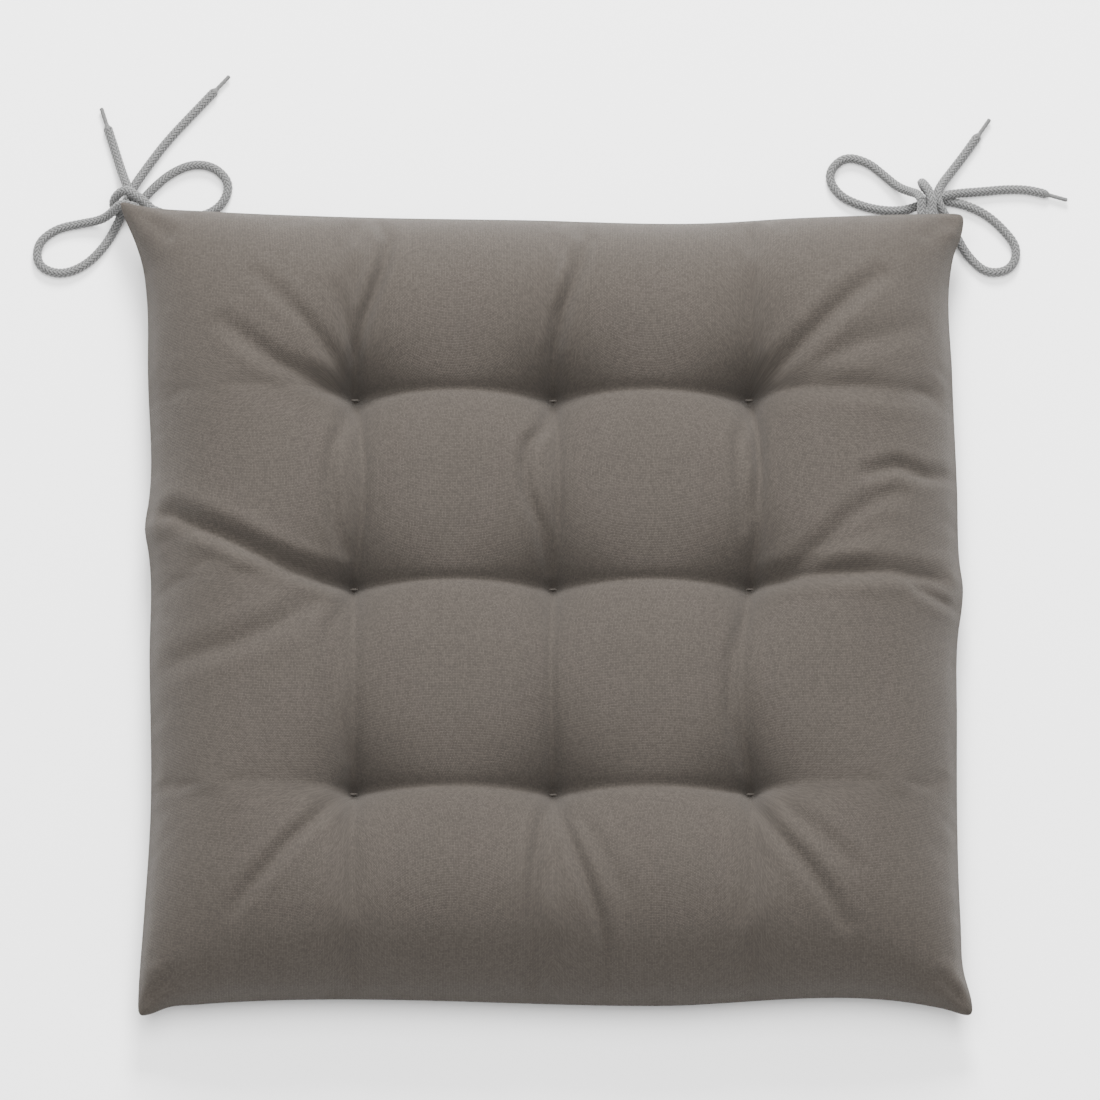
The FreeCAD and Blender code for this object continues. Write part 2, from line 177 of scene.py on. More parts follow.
def spline_points(points):
    """Points along the smooth NURBS spline that has the route's points as its control points."""
    curve = bpy.data.curves.new("route", "CURVE")
    curve.dimensions = "3D"
    curve.resolution_u = ROUTE_POINTS
    spline = curve.splines.new("NURBS")
    spline.points.add(len(points) - 1)
    for control, point in zip(spline.points, points):
        control.co = (*point, 1.0)
    spline.order_u = 3
    spline.use_endpoint_u = True
    holder = bpy.data.objects.new("route", curve)
    bpy.context.scene.collection.objects.link(holder)
    mesh = bpy.data.meshes.new_from_object(holder)
    line = np.array([v.co[:] for v in mesh.vertices])
    bpy.data.objects.remove(holder)
    bpy.data.curves.remove(curve)
    bpy.data.meshes.remove(mesh)
    return line


def unit(vectors):
    """Vectors at length one."""
    return vectors / np.linalg.norm(vectors, axis=-1, keepdims=True)


def distances_along(line):
    """Distance from the start to each point of a line."""
    return np.concatenate([[0.0], np.cumsum(np.linalg.norm(np.diff(line, axis=0), axis=1))])


def at_distances(values, along, wanted):
    """Vectors known at some distances along a line, read at others."""
    return np.stack([np.interp(wanted, along, values[:, axis]) for axis in range(3)], 1)


def evenly(line, step):
    """Points about a step apart along a line, both ends among them, and their distances from the start."""
    along = distances_along(line)
    count = max(2, round(along[-1] / step) + 1)
    wanted = np.linspace(0, along[-1], count)
    return at_distances(line, along, wanted), wanted


def frames_along(line):
    """Two crosswise directions at each point of a line, which turn with it and don't twist."""
    tangents = unit(np.gradient(line, axis=0))
    side = np.cross(tangents[0], (0.0, 0.0, 1.0))
    if np.linalg.norm(side) < 0.1:  # the line starts upright
        side = np.cross(tangents[0], (0.0, 1.0, 0.0))
    sides = []
    for tangent in tangents:
        side = side - tangent * np.dot(side, tangent)
        side = side / np.linalg.norm(side)
        sides.append(side)
    sides = np.array(sides)
    return sides, np.cross(tangents, sides)


def braid_relief(turn, along):
    """Height from 0 to 1 of a braid whose yarns go over two and under two, at a share of a turn round it."""
    one_way = CARRIERS * turn + along / BRAID_PITCH
    other_way = CARRIERS * turn - along / BRAID_PITCH
    one_index, other_index = np.floor(one_way), np.floor(other_way)
    one_share, other_share = one_way - one_index, other_way - other_index
    phase = np.mod(one_index + other_index, 4)
    first_over = phase < 2
    across = np.where(first_over, one_share, other_share)
    lengthwise = np.where(first_over, phase + other_share, phase - 2 + one_share) / 2
    return np.sin(np.pi * across) ** YARN_FLATNESS * np.sin(np.pi * lengthwise) ** YARN_EVENNESS


def swept(name, line, step, profile, around=RING_POINTS):
    """A closed tube along a line. profile gives its crosswise and upright half widths, at shares of a turn
    round it and distances along it."""
    centres, along = evenly(line, step)
    sides, ups = frames_along(centres)
    turn, along = np.meshgrid(np.arange(around) / around, along)
    wide, high = profile(turn, along)
    across = np.cos(2 * np.pi * turn) * wide
    upright = np.sin(2 * np.pi * turn) * high
    rings = centres[:, None] + sides[:, None] * across[..., None] + ups[:, None] * upright[..., None]
    verts = np.concatenate([rings.reshape(-1, 3), centres[:1], centres[-1:]])
    uvs = np.stack([turn.ravel(), along.ravel()], 1)
    uvs = np.concatenate([uvs, uvs[:1], uvs[-1:]])
    first, last = len(verts) - 2, len(verts) - 1
    end = (len(centres) - 1) * around
    faces = []
    for k in range(around):
        n = (k + 1) % around
        for ring in range(0, end, around):
            faces.append((ring + k, ring + n, ring + around + n, ring + around + k))
        faces.append((first, n, k))
        faces.append((last, end + k, end + n))
    return new_object(name, verts, faces, uvs)


def braided(turn, along):
    """Profile of a round braided cord."""
    radius = CORD / 2 - YARN_RELIEF * (1 - braid_relief(turn, along))
    return radius, radius


def flattened(turn, along):
    """Profile of a cord that is pressed flat at its start and round at its end."""
    flat = 1 - np.clip(along / ANCHOR_ROUND, 0, 1) ** 2
    radius, _ = braided(turn, along)
    return radius * (1 + ANCHOR_WIDENING * flat), radius * (1 - ANCHOR_LOWERING * flat)


def sealed(turn, along):
    """Profile of a strand's end, melted together into a short neck and a thin stiff point."""
    neck = np.clip(along / TIP_TAPER, 0, 1)
    neck = neck * neck * (3 - 2 * neck)
    thick, _ = braided(turn, along)
    ridges = np.sin(2 * np.pi * (TIP_RIDGES * turn + along / TIP_TWIST))
    thin = TIP_DIAMETER / 2 * (1 + TIP_RIDGE * ridges)
    nose = np.clip((TIP_TAPER + TIP_LENGTH - along) / TIP_NOSE, 0, 1)
    radius = (thick * (1 - neck) + thin * neck) * np.sqrt(1 - (1 - nose) ** 2)
    return radius, radius


def strand_start(tie, strand):
    """Where a strand leaves the pad: beside the pivot that it swings about."""
    aside = Vector((-OUTWARD[tie].y, OUTWARD[tie].x, 0)) * STRAND_OFFSET
    return PIVOTS[tie] + (aside if strand == "a" else -aside)


def finish_piece(piece, body, nodes, material):
    """Gives a piece its material and the body that it rides on, and hides the CAD nodes that it stands for.
    """
    piece.data.materials.append(material)
    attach(piece, body)
    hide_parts(*nodes)


def joined(name, pieces):
    """Several mesh objects as one."""
    with bpy.context.temp_override(active_object=pieces[0], selected_editable_objects=pieces):
        bpy.ops.object.join()
    pieces[0].name = name
    return pieces[0]


def make_strand(tie, strand, materials):
    """One free strand of a bow, from the exit to its tail, and its sealed tip."""
    node = f"{tie}_strand_{strand}"
    tip_node = f"{tie}_tip_{strand}"
    start = strand_start(tie, strand)
    pivot = PIVOTS[tie]
    points = [start] + [Vector((pivot.x + dx, pivot.y + dy, z)) for dx, dy, z in ROUTES[node]]
    line = spline_points(points)
    braid = swept(node + "_braid", line, RING_STEP, braided)
    finish_piece(braid, tie, [node], materials["cord"])
    direction = unit(line[-1] - line[-4])
    tip_line = line[-1] + np.outer((0, TIP_TAPER + TIP_LENGTH), direction)
    tip = swept(tip_node + "_sealed", tip_line, RING_STEP, sealed)
    finish_piece(tip, tie, [tip_node], materials["tip"])


def make_anchor(tie, materials):
    """The middle of the cord, folded and sewn in flat between the panels, up to its free strands."""
    pieces = []
    for strand in "ab":
        start = np.array(strand_start(tie, strand))
        inward = -np.array(OUTWARD[tie])
        line = start + np.outer((ANCHOR_REACH, -ANCHOR_LAP), inward)
        pieces.append(swept(f"{tie}_anchor_{strand}", line, RING_STEP, flattened))
    anchor = joined(f"{tie}_anchor_braid", pieces)
    finish_piece(anchor, "pad", [f"{tie}_anchor"], materials["cord"])


# Cushion outline: for each side, places along it and how far it stands out there past the waist line, in mm
WAIST = 200.0 * MM
SIDES = {
    "left": [
        (-208, 3.5), (-190, 3), (-160, 1), (-110, -2), (-30, -1), (28, 0), (40, 2), (54, 0), (120, 1),
        (158, 2), (172, 4), (184, 8), (194, 12.5), (205, 17),
    ],
    "right": [
        (-208, 6.5), (-194, 4.5), (-184, 1.5), (-160, 0), (-60, -1), (-14, 0), (0, 2), (9, 2.5), (21, 1),
        (60, 0), (120, -2), (172, -2.5), (183, -0.5), (192, 3), (204, 5),
    ],
    "front": [
        (-204, 7.5), (-196, 5), (-189, 2), (-178, 1), (50, 1.5), (183, 1.5), (192, 3.5), (199, 6), (206, 7.5),
    ],
    "back": [
        (-214, 10), (-203, 7.5), (-192, 4.5), (-164, 2), (-115, -0.5), (-16, -2.5), (82, -4), (122, -1.5),
        (161, 0), (204, 1),
    ],
}
CORNER_ROUND = 4.5 * MM
CORNERS_ALONG = 1.02  # how much further out a corner stands than the waist lines' crossing

# Cushion profile
CROWN = 57.5 * MM  # top of the fullest pillows
EDGE_ROUND = 66.0 * MM  # width of the rounding from the seam to the full height
SAG = 7.0 * MM  # how far the underside would bulge below the surface that flattens it
TUFT_DEPTH = 29.0 * MM  # how far a furrow lies below the pillows where it meets a tuft
FURROW_DEPTH = 10.5 * MM  # and half way between two tufts
FURROW_RISE = 2.0  # power by which it rises from the tufts
FURROW_FADE = 15.0 * MM  # distance over which it fades from the last tuft towards the border
FURROW_REST = 0.3 * MM  # and what is left of it there
OUTER_REACH = 40.0 * MM  # how far a furrow is felt on its outer side
PILLOW_POWER = 0.72  # under 1 makes the pillows' sides steep beside the furrows
CROSSING_POWER = 3.0  # how the depths of two furrows that cross add up
FLOOR_TURN = 1.5 * MM  # how softly the underside turns up from the surface that it rests on
BORDER_REACH = 12.0 * MM  # width of the band along the seam where furrows and folds fade out
BORDER_SHARE = 0.35  # what is left of a fold at the seam itself
UNDERSIDE_SHARE = 0.34  # how deep the furrows are underneath, beside those on top

# How far each column's furrow bows to the right, in mm, in front of its centre tuft and behind it
BOWS = {"left": (0.5, 5.0), "middle": (-1.0, 3.0), "right": (-5.0, 5.0)}
BOW_REACH = 30.0 * MM

# Grid
CELLS = 24  # cells of the grid between two neighbouring tufts, or a tuft and the border
CROWDING = 0.34  # how much closer the grid's lines are at the furrows and the border


def smooth_line(points, at):
    """Height at the given places of a smooth line through (place, height) points."""
    places, heights = np.array(points, float).T
    slopes = np.gradient(heights, places)
    k = np.clip(np.searchsorted(places, at) - 1, 0, len(places) - 2)
    width = places[k + 1] - places[k]
    t = np.clip((at - places[k]) / width, 0, 1)
    start = heights[k] * (2 * t**3 - 3 * t**2 + 1) + slopes[k] * width * (t**3 - 2 * t**2 + t)
    return start + heights[k + 1] * (3 * t**2 - 2 * t**3) + slopes[k + 1] * width * (t**3 - t**2)


def side_out(side, along):
    """How far a side stands out past its waist line, at places along it."""
    return smooth_line(SIDES[side], along * CORNERS_ALONG / MM) * MM


def grid_lines(tufts):
    """Places of the grid's lines, one through each tuft, closer beside the furrows and the border."""
    marks = [-WAIST, *tufts, WAIST]
    t = np.arange(1, CELLS + 1) / CELLS
    t = t - CROWDING * np.sin(2 * np.pi * t) / (2 * np.pi)
    return np.concatenate([[-WAIST]] + [low + (high - low) * t for low, high in zip(marks, marks[1:])])


def tuft_indices(lines, places):
    """Which of the grid's lines pass through the tufts."""
    return [int(np.argmin(np.abs(lines - place))) for place in places]


GRID_U, GRID_V = grid_lines(TUFT_X), grid_lines(TUFT_Y)
TUFT_LINES_U, TUFT_LINES_V = tuft_indices(GRID_U, TUFT_X), tuft_indices(GRID_V, TUFT_Y)


def plan(u, v):
    """Where the cloth's grid lies in plan: its border on the outline, its middle unmoved."""
    left = np.clip((TUFT_X[0] - u) / (TUFT_X[0] + WAIST), 0, 1)
    right = np.clip((u - TUFT_X[2]) / (WAIST - TUFT_X[2]), 0, 1)
    front = np.clip((TUFT_Y[0] - v) / (TUFT_Y[0] + WAIST), 0, 1)
    back = np.clip((v - TUFT_Y[2]) / (WAIST - TUFT_Y[2]), 0, 1)
    x = u - left * side_out("left", v) + right * side_out("right", v) + bowed(u, v)
    y = v - front * side_out("front", u) + back * side_out("back", u)
    return rounded_corners(x, y)


def rounded_corners(x, y):
    """The plan with each corner's square tip turned into a round one."""
    for i in (0, -1):
        for j in (0, -1):
            out_x, out_y = math.copysign(1, x[j, i]), math.copysign(1, y[j, i])
            dx = x - (x[j, i] - out_x * CORNER_ROUND)
            dy = y - (y[j, i] - out_y * CORNER_ROUND)
            longest = np.maximum(dx * out_x, dy * out_y)
            inside = (dx * out_x > 0) & (dy * out_y > 0)
            shrink = np.where(inside, longest / np.maximum(np.hypot(dx, dy), TINY), 1.0)
            x, y = x + dx * (shrink - 1), y + dy * (shrink - 1)
    return x, y


def bowed(u, v):
    """How far the columns' furrows shift the cloth to the right."""
    shift = np.zeros_like(u)
    for column, line in zip(TUFT_COLUMNS, TUFT_X):
        near = np.clip(1 - np.abs(u - line) / BOW_REACH, 0, 1)
        for bow, low, high in zip(BOWS[column], TUFT_Y, TUFT_Y[1:]):
            share = np.clip((v - low) / (high - low), 0, 1)
            shift = shift + bow * MM * near * np.sin(np.pi * share)
    return shift


def edge_share(u, v):
    """Share of the full height that the rounding beside the seam leaves."""
    share = 1.0
    for distance in (WAIST - np.abs(u), WAIST - np.abs(v)):
        share = share * np.sqrt(1 - (1 - np.clip(distance / EDGE_ROUND, 0, 1)) ** 2)
    return share


def furrows(across, along, lines, stops):
    """Depth of the furrows on some lines, which run from tuft to tuft and fade towards the border."""
    middle, half = (stops[1:] + stops[:-1]) / 2, (stops[1:] - stops[:-1]) / 2
    k = (along > stops[1]).astype(int)
    between = np.abs((along - middle[k]) / half[k]) ** FURROW_RISE
    between = FURROW_DEPTH + (TUFT_DEPTH - FURROW_DEPTH) * between
    past = np.maximum(stops[0] - along, along - stops[-1])
    fading = FURROW_REST + (TUFT_DEPTH - FURROW_REST) * np.exp(-np.maximum(past, 0) / FURROW_FADE)
    strength = np.where(past > 0, fading, between)
    depth = np.zeros_like(across)
    for k, line in enumerate(lines):
        low = (line - lines[k - 1]) / 2 if k else OUTER_REACH
        high = (lines[k + 1] - line) / 2 if k + 1 < len(lines) else OUTER_REACH
        away = np.clip(np.abs(across - line) / np.where(across < line, low, high), 0, 1)
        depth = np.maximum(depth, strength * (1 - (1 - (1 - away) ** 2) ** PILLOW_POWER))
    return depth


def tufted_depth(u, v):
    """Depth of both families of furrows together."""
    columns, rows = np.array(TUFT_X), np.array(TUFT_Y)
    upright, level = furrows(u, v, columns, rows), furrows(v, u, rows, columns)
    return (upright**CROSSING_POWER + level**CROSSING_POWER) ** (1 / CROSSING_POWER)


def soft_floor(height):
    """Heights that never fall below zero, turning up gently where they come near it."""
    return (height + np.sqrt(height**2 + FLOOR_TURN**2)) / 2


def panel_heights(u, v):
    """Heights of the top and the underside as cut and filled, before the cloth is simulated."""
    share = edge_share(u, v)
    depth = tufted_depth(u, v)
    near_border = np.clip(np.minimum(WAIST - np.abs(u), WAIST - np.abs(v)) / BORDER_REACH, 0, 1)
    top = SEAM + (CROWN - SEAM) * share - depth * near_border
    underside = SEAM - (SEAM + SAG) * share + UNDERSIDE_SHARE * depth * near_border
    return top, soft_floor(underside)


# Folds of the top, as points to the right of the middle and behind it, then their height (below zero for a
# groove) and half width, in mm
FOLDS = [
    # around the back left tuft
    ([(-149, 163), (-135, 149), (-123, 136), (-110, 120), (-99, 105)], -3, 3.5),
    ([(-166, 139), (-150, 125), (-138, 116), (-123, 109), (-100, 103)], -3.5, 4.5),
    ([(-110, 157), (-103, 140), (-99, 124), (-98, 106)], -2, 3),
    ([(-87, 196), (-81, 179), (-83, 165), (-88, 150), (-93, 136), (-97, 120), (-98, 105)], -4.5, 3),
    ([(-93, 192), (-88, 178), (-91, 160), (-97, 140)], 1.5, 3),
    # behind the middle and right tufts
    ([(12, 198), (17, 180), (14, 166), (10, 153), (5, 139), (1, 122), (0, 105)], -4, 3.5),
    ([(6, 192), (9, 178), (5, 160), (-1, 142)], 1.5, 3),
    ([(99, 192), (99, 165), (98, 140), (97, 106)], -1.5, 5),
    ([(99, 104), (115, 117), (128, 129), (141, 143), (153, 154), (165, 164)], -4.5, 4.5),
    ([(112, 106), (150, 124), (186, 138)], -2, 5.5),
    ([(108, 103), (140, 102), (172, 101), (199, 102)], -2, 5),
    # right edge
    ([(150, 56), (169, 63), (184, 60), (200, 64)], -4, 3.5),
    ([(108, 8), (120, 13), (132, 23), (144, 34), (158, 44), (174, 51)], -3, 4.5),
    ([(122, 12), (147, 25), (168, 37)], -1.5, 4.5),
    ([(98, 7), (120, 8), (142, 9), (165, 9), (185, 9), (203, 11)], -4, 4.5),
    ([(176, 2), (188, -1), (202, -4)], -3, 3),
    # left edge
    ([(-204, 45), (-187, 42), (-174, 34), (-160, 27), (-145, 19), (-129, 12), (-113, 8), (-97, 7)], -7, 4.5),
    ([(-112, -3), (-138, -20), (-157, -28), (-177, -32), (-196, -36)], -2.5, 5.5),
    ([(-100, 2), (-104, -9), (-110, -18), (-112, -32)], -1.5, 3),
    # between the tufts of each column
    ([(-99, 98), (-103, 88), (-108, 74), (-110, 58), (-108, 35), (-102, 18)], -3, 3),
    ([(-1, 98), (-5, 84), (-12, 74), (-14, 62), (-13, 49), (-7, 34), (-2, 12)], -4, 3),
    ([(95, 95), (91, 75), (91, 55), (94, 30)], -2.5, 3),
    ([(97, 100), (101, 84), (102, 62), (98, 38)], -2, 3),
    ([(-101, -12), (-107, -34), (-108, -58), (-102, -84)], -1.5, 4),
    ([(94, -8), (87, -34), (86, -62), (93, -88)], -2, 3),
    # in front of the front tufts
    (
        [(-101, -98), (-109, -107), (-118, -117), (-130, -129), (-139, -140), (-148, -150), (-158, -164)],
        -3.5, 3.5,
    ),
    ([(-98, -99), (-98, -130), (-97, -160), (-97, -196)], -2, 5),
    ([(-1, -100), (-6, -118), (-9, -139), (-10, -155), (-11, -173), (-11, -196)], -4, 3),
    ([(-3, -138), (-5, -160), (-6, -182), (-9, -200)], -1.5, 3),
    ([(1, -100), (5, -115), (10, -130), (16, -147), (22, -163), (26, -178), (28, -200)], -4, 3),
    ([(8, -108), (18, -122), (28, -139), (37, -158)], -1.5, 3.5),
    ([(96, -100), (102, -111), (112, -126), (123, -139), (134, -154), (145, -171)], -4, 3.5),
    ([(110, -106), (122, -116), (135, -128), (150, -143)], -2, 4),
    ([(96, -104), (98, -135), (95, -170)], -1.5, 5),
    # the corners' ears
    ([(-216, 208), (-204, 197), (-188, 182)], -3, 4.5),
    ([(204, 203), (194, 193), (182, 182)], -2, 4.5),
    ([(-206, -210), (-196, -199), (-184, -186)], -2.5, 3.5),
    ([(209, -210), (199, -200), (186, -187)], -2.5, 3.5),
]
FOLD_FADING = 0.4  # power that keeps a fold near its full height up to its ends
FOLD_SHARPNESS = 1.5  # under 2 makes a fold's bottom sharper than its shoulders
LIP_HEIGHT = 0.2  # the cloth swells beside a groove, as a share of the groove's depth
LIP_PLACE = 2.0  # half widths from the middle of the groove
LIP_WIDTH = 0.7

CREASE = (-0.9, 3.0, 0.0)  # height, half width and lips of the sharp crease in each furrow, as in FOLDS
DIMPLE = 2.2 * MM  # the small pit that each stitch pulls into the cloth
DIMPLE_WIDTH = 3.2 * MM
PUCKER = 0.5 * MM  # height of the gathers beside the seam
PUCKER_LENGTH = 7.0 * MM
PUCKER_REACH = 16.0 * MM
PUCKER_DRAW = 4.0  # how many times longer they are inwards than along the seam
PUCKER_CLEAR = 1.5 * MM  # how far off the seam's height they start
PUCKER_RISE = 4.0 * MM  # and over what height they grow to the full
STEEP = 0.3  # upward part of the normal below which the folds of the top fade out


def fold_height(x, y, points, height, width, lip=LIP_HEIGHT):
    """Height of one fold of the cloth: a ridge or groove along some points, fading towards both ends."""
    points = np.array(points, float) * MM
    nearest = np.full(x.shape, np.inf)
    share = np.zeros_like(x)
    along = distances_along(np.pad(points, ((0, 0), (0, 1))))
    for start, end, passed in zip(points, points[1:], along):
        run = end - start
        t = np.clip(((x - start[0]) * run[0] + (y - start[1]) * run[1]) / (run @ run), 0, 1)
        distance = np.hypot(x - start[0] - t * run[0], y - start[1] - t * run[1])
        closer = distance < nearest
        share = np.where(closer, (passed + t * np.linalg.norm(run)) / along[-1], share)
        nearest = np.minimum(nearest, distance)
    fading = np.sin(np.pi * np.clip(share, 0, 1)) ** FOLD_FADING
    across = nearest / (width * MM)
    lips = lip * np.exp(-((across - LIP_PLACE) ** 2) / LIP_WIDTH)
    return height * MM * fading * (np.exp(-(across**FOLD_SHARPNESS)) - lips)


def furrow_lines():
    """The furrows between neighbouring tufts, as lines of points in mm."""
    shares = np.linspace(0, 1, 9)
    for row in TUFT_Y:
        for low, high in zip(TUFT_X, TUFT_X[1:]):
            yield [((low + (high - low) * t) / MM, row / MM) for t in shares]
    for column, line in zip(TUFT_COLUMNS, TUFT_X):
        for bow, low, high in zip(BOWS[column], TUFT_Y, TUFT_Y[1:]):
            yield [(line / MM + bow * math.sin(math.pi * t), (low + (high - low) * t) / MM) for t in shares]


def folds_at(x, y):
    """Height of all the folds together, at places on the top."""
    height = np.zeros_like(x)
    for fold in FOLDS + [(line, *CREASE) for line in furrow_lines()]:
        height += fold_height(x, y, *fold)
    border = np.minimum(WAIST - np.abs(x), WAIST - np.abs(y))
    return height * np.clip(border / BORDER_REACH + BORDER_SHARE, 0, 1)


def puckers_at(x, y):
    """Height of the small gathers beside the seam."""
    height = np.zeros_like(x)
    from_side, from_end = WAIST - np.abs(x), WAIST - np.abs(y)
    distance = np.minimum(from_side, from_end)
    for k in np.nonzero(distance < PUCKER_REACH)[0]:
        along = y[k] if from_side[k] < from_end[k] else x[k]
        quarter = math.copysign(1, x[k]) + 3 * math.copysign(1, y[k])  # so that no two quarters are alike
        fading = min(1.0, 1 - distance[k] / PUCKER_REACH)
        place = (along / PUCKER_LENGTH, distance[k] / (PUCKER_DRAW * PUCKER_LENGTH), quarter)
        height[k] = PUCKER * fading * noise.noise(Vector(place))
    return height


def subdivide(piece):
    """Applies one subdivision to a piece's mesh."""
    modifier = piece.modifiers.new("subdivision", "SUBSURF")
    modifier.levels = modifier.render_levels = 1
    evaluated = piece.evaluated_get(bpy.context.evaluated_depsgraph_get())
    coarse = piece.data
    piece.data = bpy.data.meshes.new_from_object(evaluated)
    piece.modifiers.clear()
    bpy.data.meshes.remove(coarse)


def vertex_values(mesh, name):
    """The coordinates or normals of a mesh's vertices."""
    values = np.empty(3 * len(mesh.vertices), np.float32)
    mesh.vertices.foreach_get(name, values)
    return values.reshape(-1, 3).astype(float)


def add_folds(piece):
    """Presses the folds, creases and gathers into the cover."""
    places, normals = vertex_values(piece.data, "co"), vertex_values(piece.data, "normal")
    x, y = places[:, 0], places[:, 1]
    facing_up = np.clip(normals[:, 2] / STEEP, 0, 1) * (places[:, 2] > SEAM)
    height = folds_at(x, y)
    for tuft_x in TUFT_X:
        for tuft_y in TUFT_Y:
            height -= DIMPLE * np.exp(-(((x - tuft_x) ** 2 + (y - tuft_y) ** 2) / DIMPLE_WIDTH**2))
    places[:, 2] += height * facing_up
    off_seam = np.clip((np.abs(places[:, 2] - SEAM) - PUCKER_CLEAR) / PUCKER_RISE, 0, 1)
    places += normals * (puckers_at(x, y) * off_seam)[:, None]
    places[:, 2] = np.maximum(places[:, 2], 0)
    piece.data.vertices.foreach_set("co", places.ravel())
    piece.data.update()


# Cloth simulation, ten times life size, where Blender's cloth is steadier
SCALE = 10.0
CLOTH_FRAMES = 20
CLOTH_SETTINGS = {
    "quality": 6,
    "mass": 0.03,
    "tension_stiffness": 120,
    "compression_stiffness": 120,
    "shear_stiffness": 60,
    "bending_stiffness": 4,
    "tension_damping": 5,
    "compression_damping": 5,
    "shear_damping": 5,
    "bending_damping": 0.5,
    "use_pressure": True,
    "uniform_pressure_force": 5.0,
}
CLOTH_GROWTH = 0.006  # share by which the cloth is cut larger than the shape it starts from
CLOTH_CAP = 9.0 * MM  # the furthest that a point may move


def border_of(grid):
    """Rows and columns of a grid's border points in order, anticlockwise from the front left corner."""
    count_v, count_u = grid.shape[:2]
    front = [(0, i) for i in range(count_u - 1)]
    right = [(j, count_u - 1) for j in range(count_v - 1)]
    back = [(count_v - 1, i) for i in range(count_u - 1, 0, -1)]
    left = [(j, 0) for j in range(count_v - 1, 0, -1)]
    return np.array(front + right + back + left).T


def grid_faces(index):
    """Quads between the points of a grid of vertex numbers."""
    corners = np.stack([index[:-1, :-1], index[:-1, 1:], index[1:, 1:], index[1:, :-1]], -1)
    return [tuple(int(k) for k in face) for face in corners.reshape(-1, 4)]


def sewn_panels(top, underside):
    """Points and faces of two panels that share their border, and each panel's grid of point numbers."""
    top_index = np.arange(top[..., 0].size).reshape(top.shape[:2])
    under_index = top_index.copy()
    inner = under_index[1:-1, 1:-1]
    inner[:] = top_index.size + np.arange(inner.size).reshape(inner.shape)
    verts = np.concatenate([top.reshape(-1, 3), underside[1:-1, 1:-1].reshape(-1, 3)])
    faces = grid_faces(top_index) + [face[::-1] for face in grid_faces(under_index)]
    return verts, faces, top_index, under_index


def simulated(top, underside):
    """Both panels after a short cloth simulation, sewn together and held at the border and the tufts."""
    verts, faces, top_index, under_index = sewn_panels(top, underside)
    cloth = new_object("cloth", verts * SCALE, faces)
    held = cloth.vertex_groups.new(name="held")
    rows, columns = border_of(top)
    held.add(top_index[rows, columns].tolist(), 1.0, "REPLACE")
    for i in TUFT_LINES_U:
        for j in TUFT_LINES_V:
            held.add([int(top_index[j, i]), int(under_index[j, i])], 1.0, "REPLACE")
    modifier = cloth.modifiers.new("cloth", "CLOTH")
    settings = modifier.settings
    for key, value in CLOTH_SETTINGS.items():
        setattr(settings, key, value)
    settings.shrink_min = -CLOTH_GROWTH
    settings.vertex_group_mass = "held"
    settings.effector_weights.gravity = 0
    modifier.collision_settings.use_collision = False
    scene = bpy.context.scene
    modifier.point_cache.frame_start = 1
    modifier.point_cache.frame_end = CLOTH_FRAMES
    for step in range(1, CLOTH_FRAMES + 1):
        scene.frame_set(step)
    evaluated = cloth.evaluated_get(bpy.context.evaluated_depsgraph_get())
    settled = np.array([v.co[:] for v in evaluated.data.vertices]) / SCALE
    scene.frame_set(1)
    bpy.data.objects.remove(cloth)
    moved = settled - verts
    length = np.linalg.norm(moved, axis=1, keepdims=True)
    settled = verts + moved * CLOTH_CAP / np.maximum(np.hypot(length, CLOTH_CAP), CLOTH_CAP)
    return settled[top_index], settled[under_index]


# Knife edge: rings from the top panel's border to the underside's, as distances in from the outline and
# heights above the seam. Each panel folds in over its allowance and a fine groove is left between them.
RING_WIDTH = 0.7 * MM  # cloth between two rings of the knife edge
EDGE_RINGS = [(0.0, 0.9), (0.15, 0.35), (1.5, 0.05), (1.5, -0.05), (0.15, -0.35), (0.0, -0.9)]  # in mm
PANEL_INSET = 0.5 * MM  # where the border of each panel itself lies, in from the outline
PANEL_LIFT = np.array((0, 0, 1.4 * MM))  # and off the seam's height


def outward_directions(loop):
    """Directions in plan that point out of a closed anticlockwise loop of points."""
    along = unit(np.roll(loop, -1, axis=0) - np.roll(loop, 1, axis=0))
    return np.stack([along[:, 1], -along[:, 0], np.zeros(len(loop))], 1)


def cloth_places(sheet):
    """Each grid point's place in the flat cloth: lengths measured on the sheet from its middle lines."""
    places = np.empty(sheet.shape[:2] + (2,))
    for axis, middle in ((1, TUFT_LINES_U[1]), (0, TUFT_LINES_V[1])):
        steps = np.linalg.norm(np.diff(sheet, axis=axis), axis=-1)
        along = np.insert(np.cumsum(steps, axis=axis), 0, 0, axis=axis)
        places[..., 1 - axis] = along - np.take(along, [middle], axis)
    return places


def ring_faces(upper, lower):
    """Quads between two closed rings of vertex numbers, which run anticlockwise, one above the other."""
    quads = np.stack([upper, lower, np.roll(lower, -1), np.roll(upper, -1)], 1)
    return [tuple(int(k) for k in quad) for quad in quads]


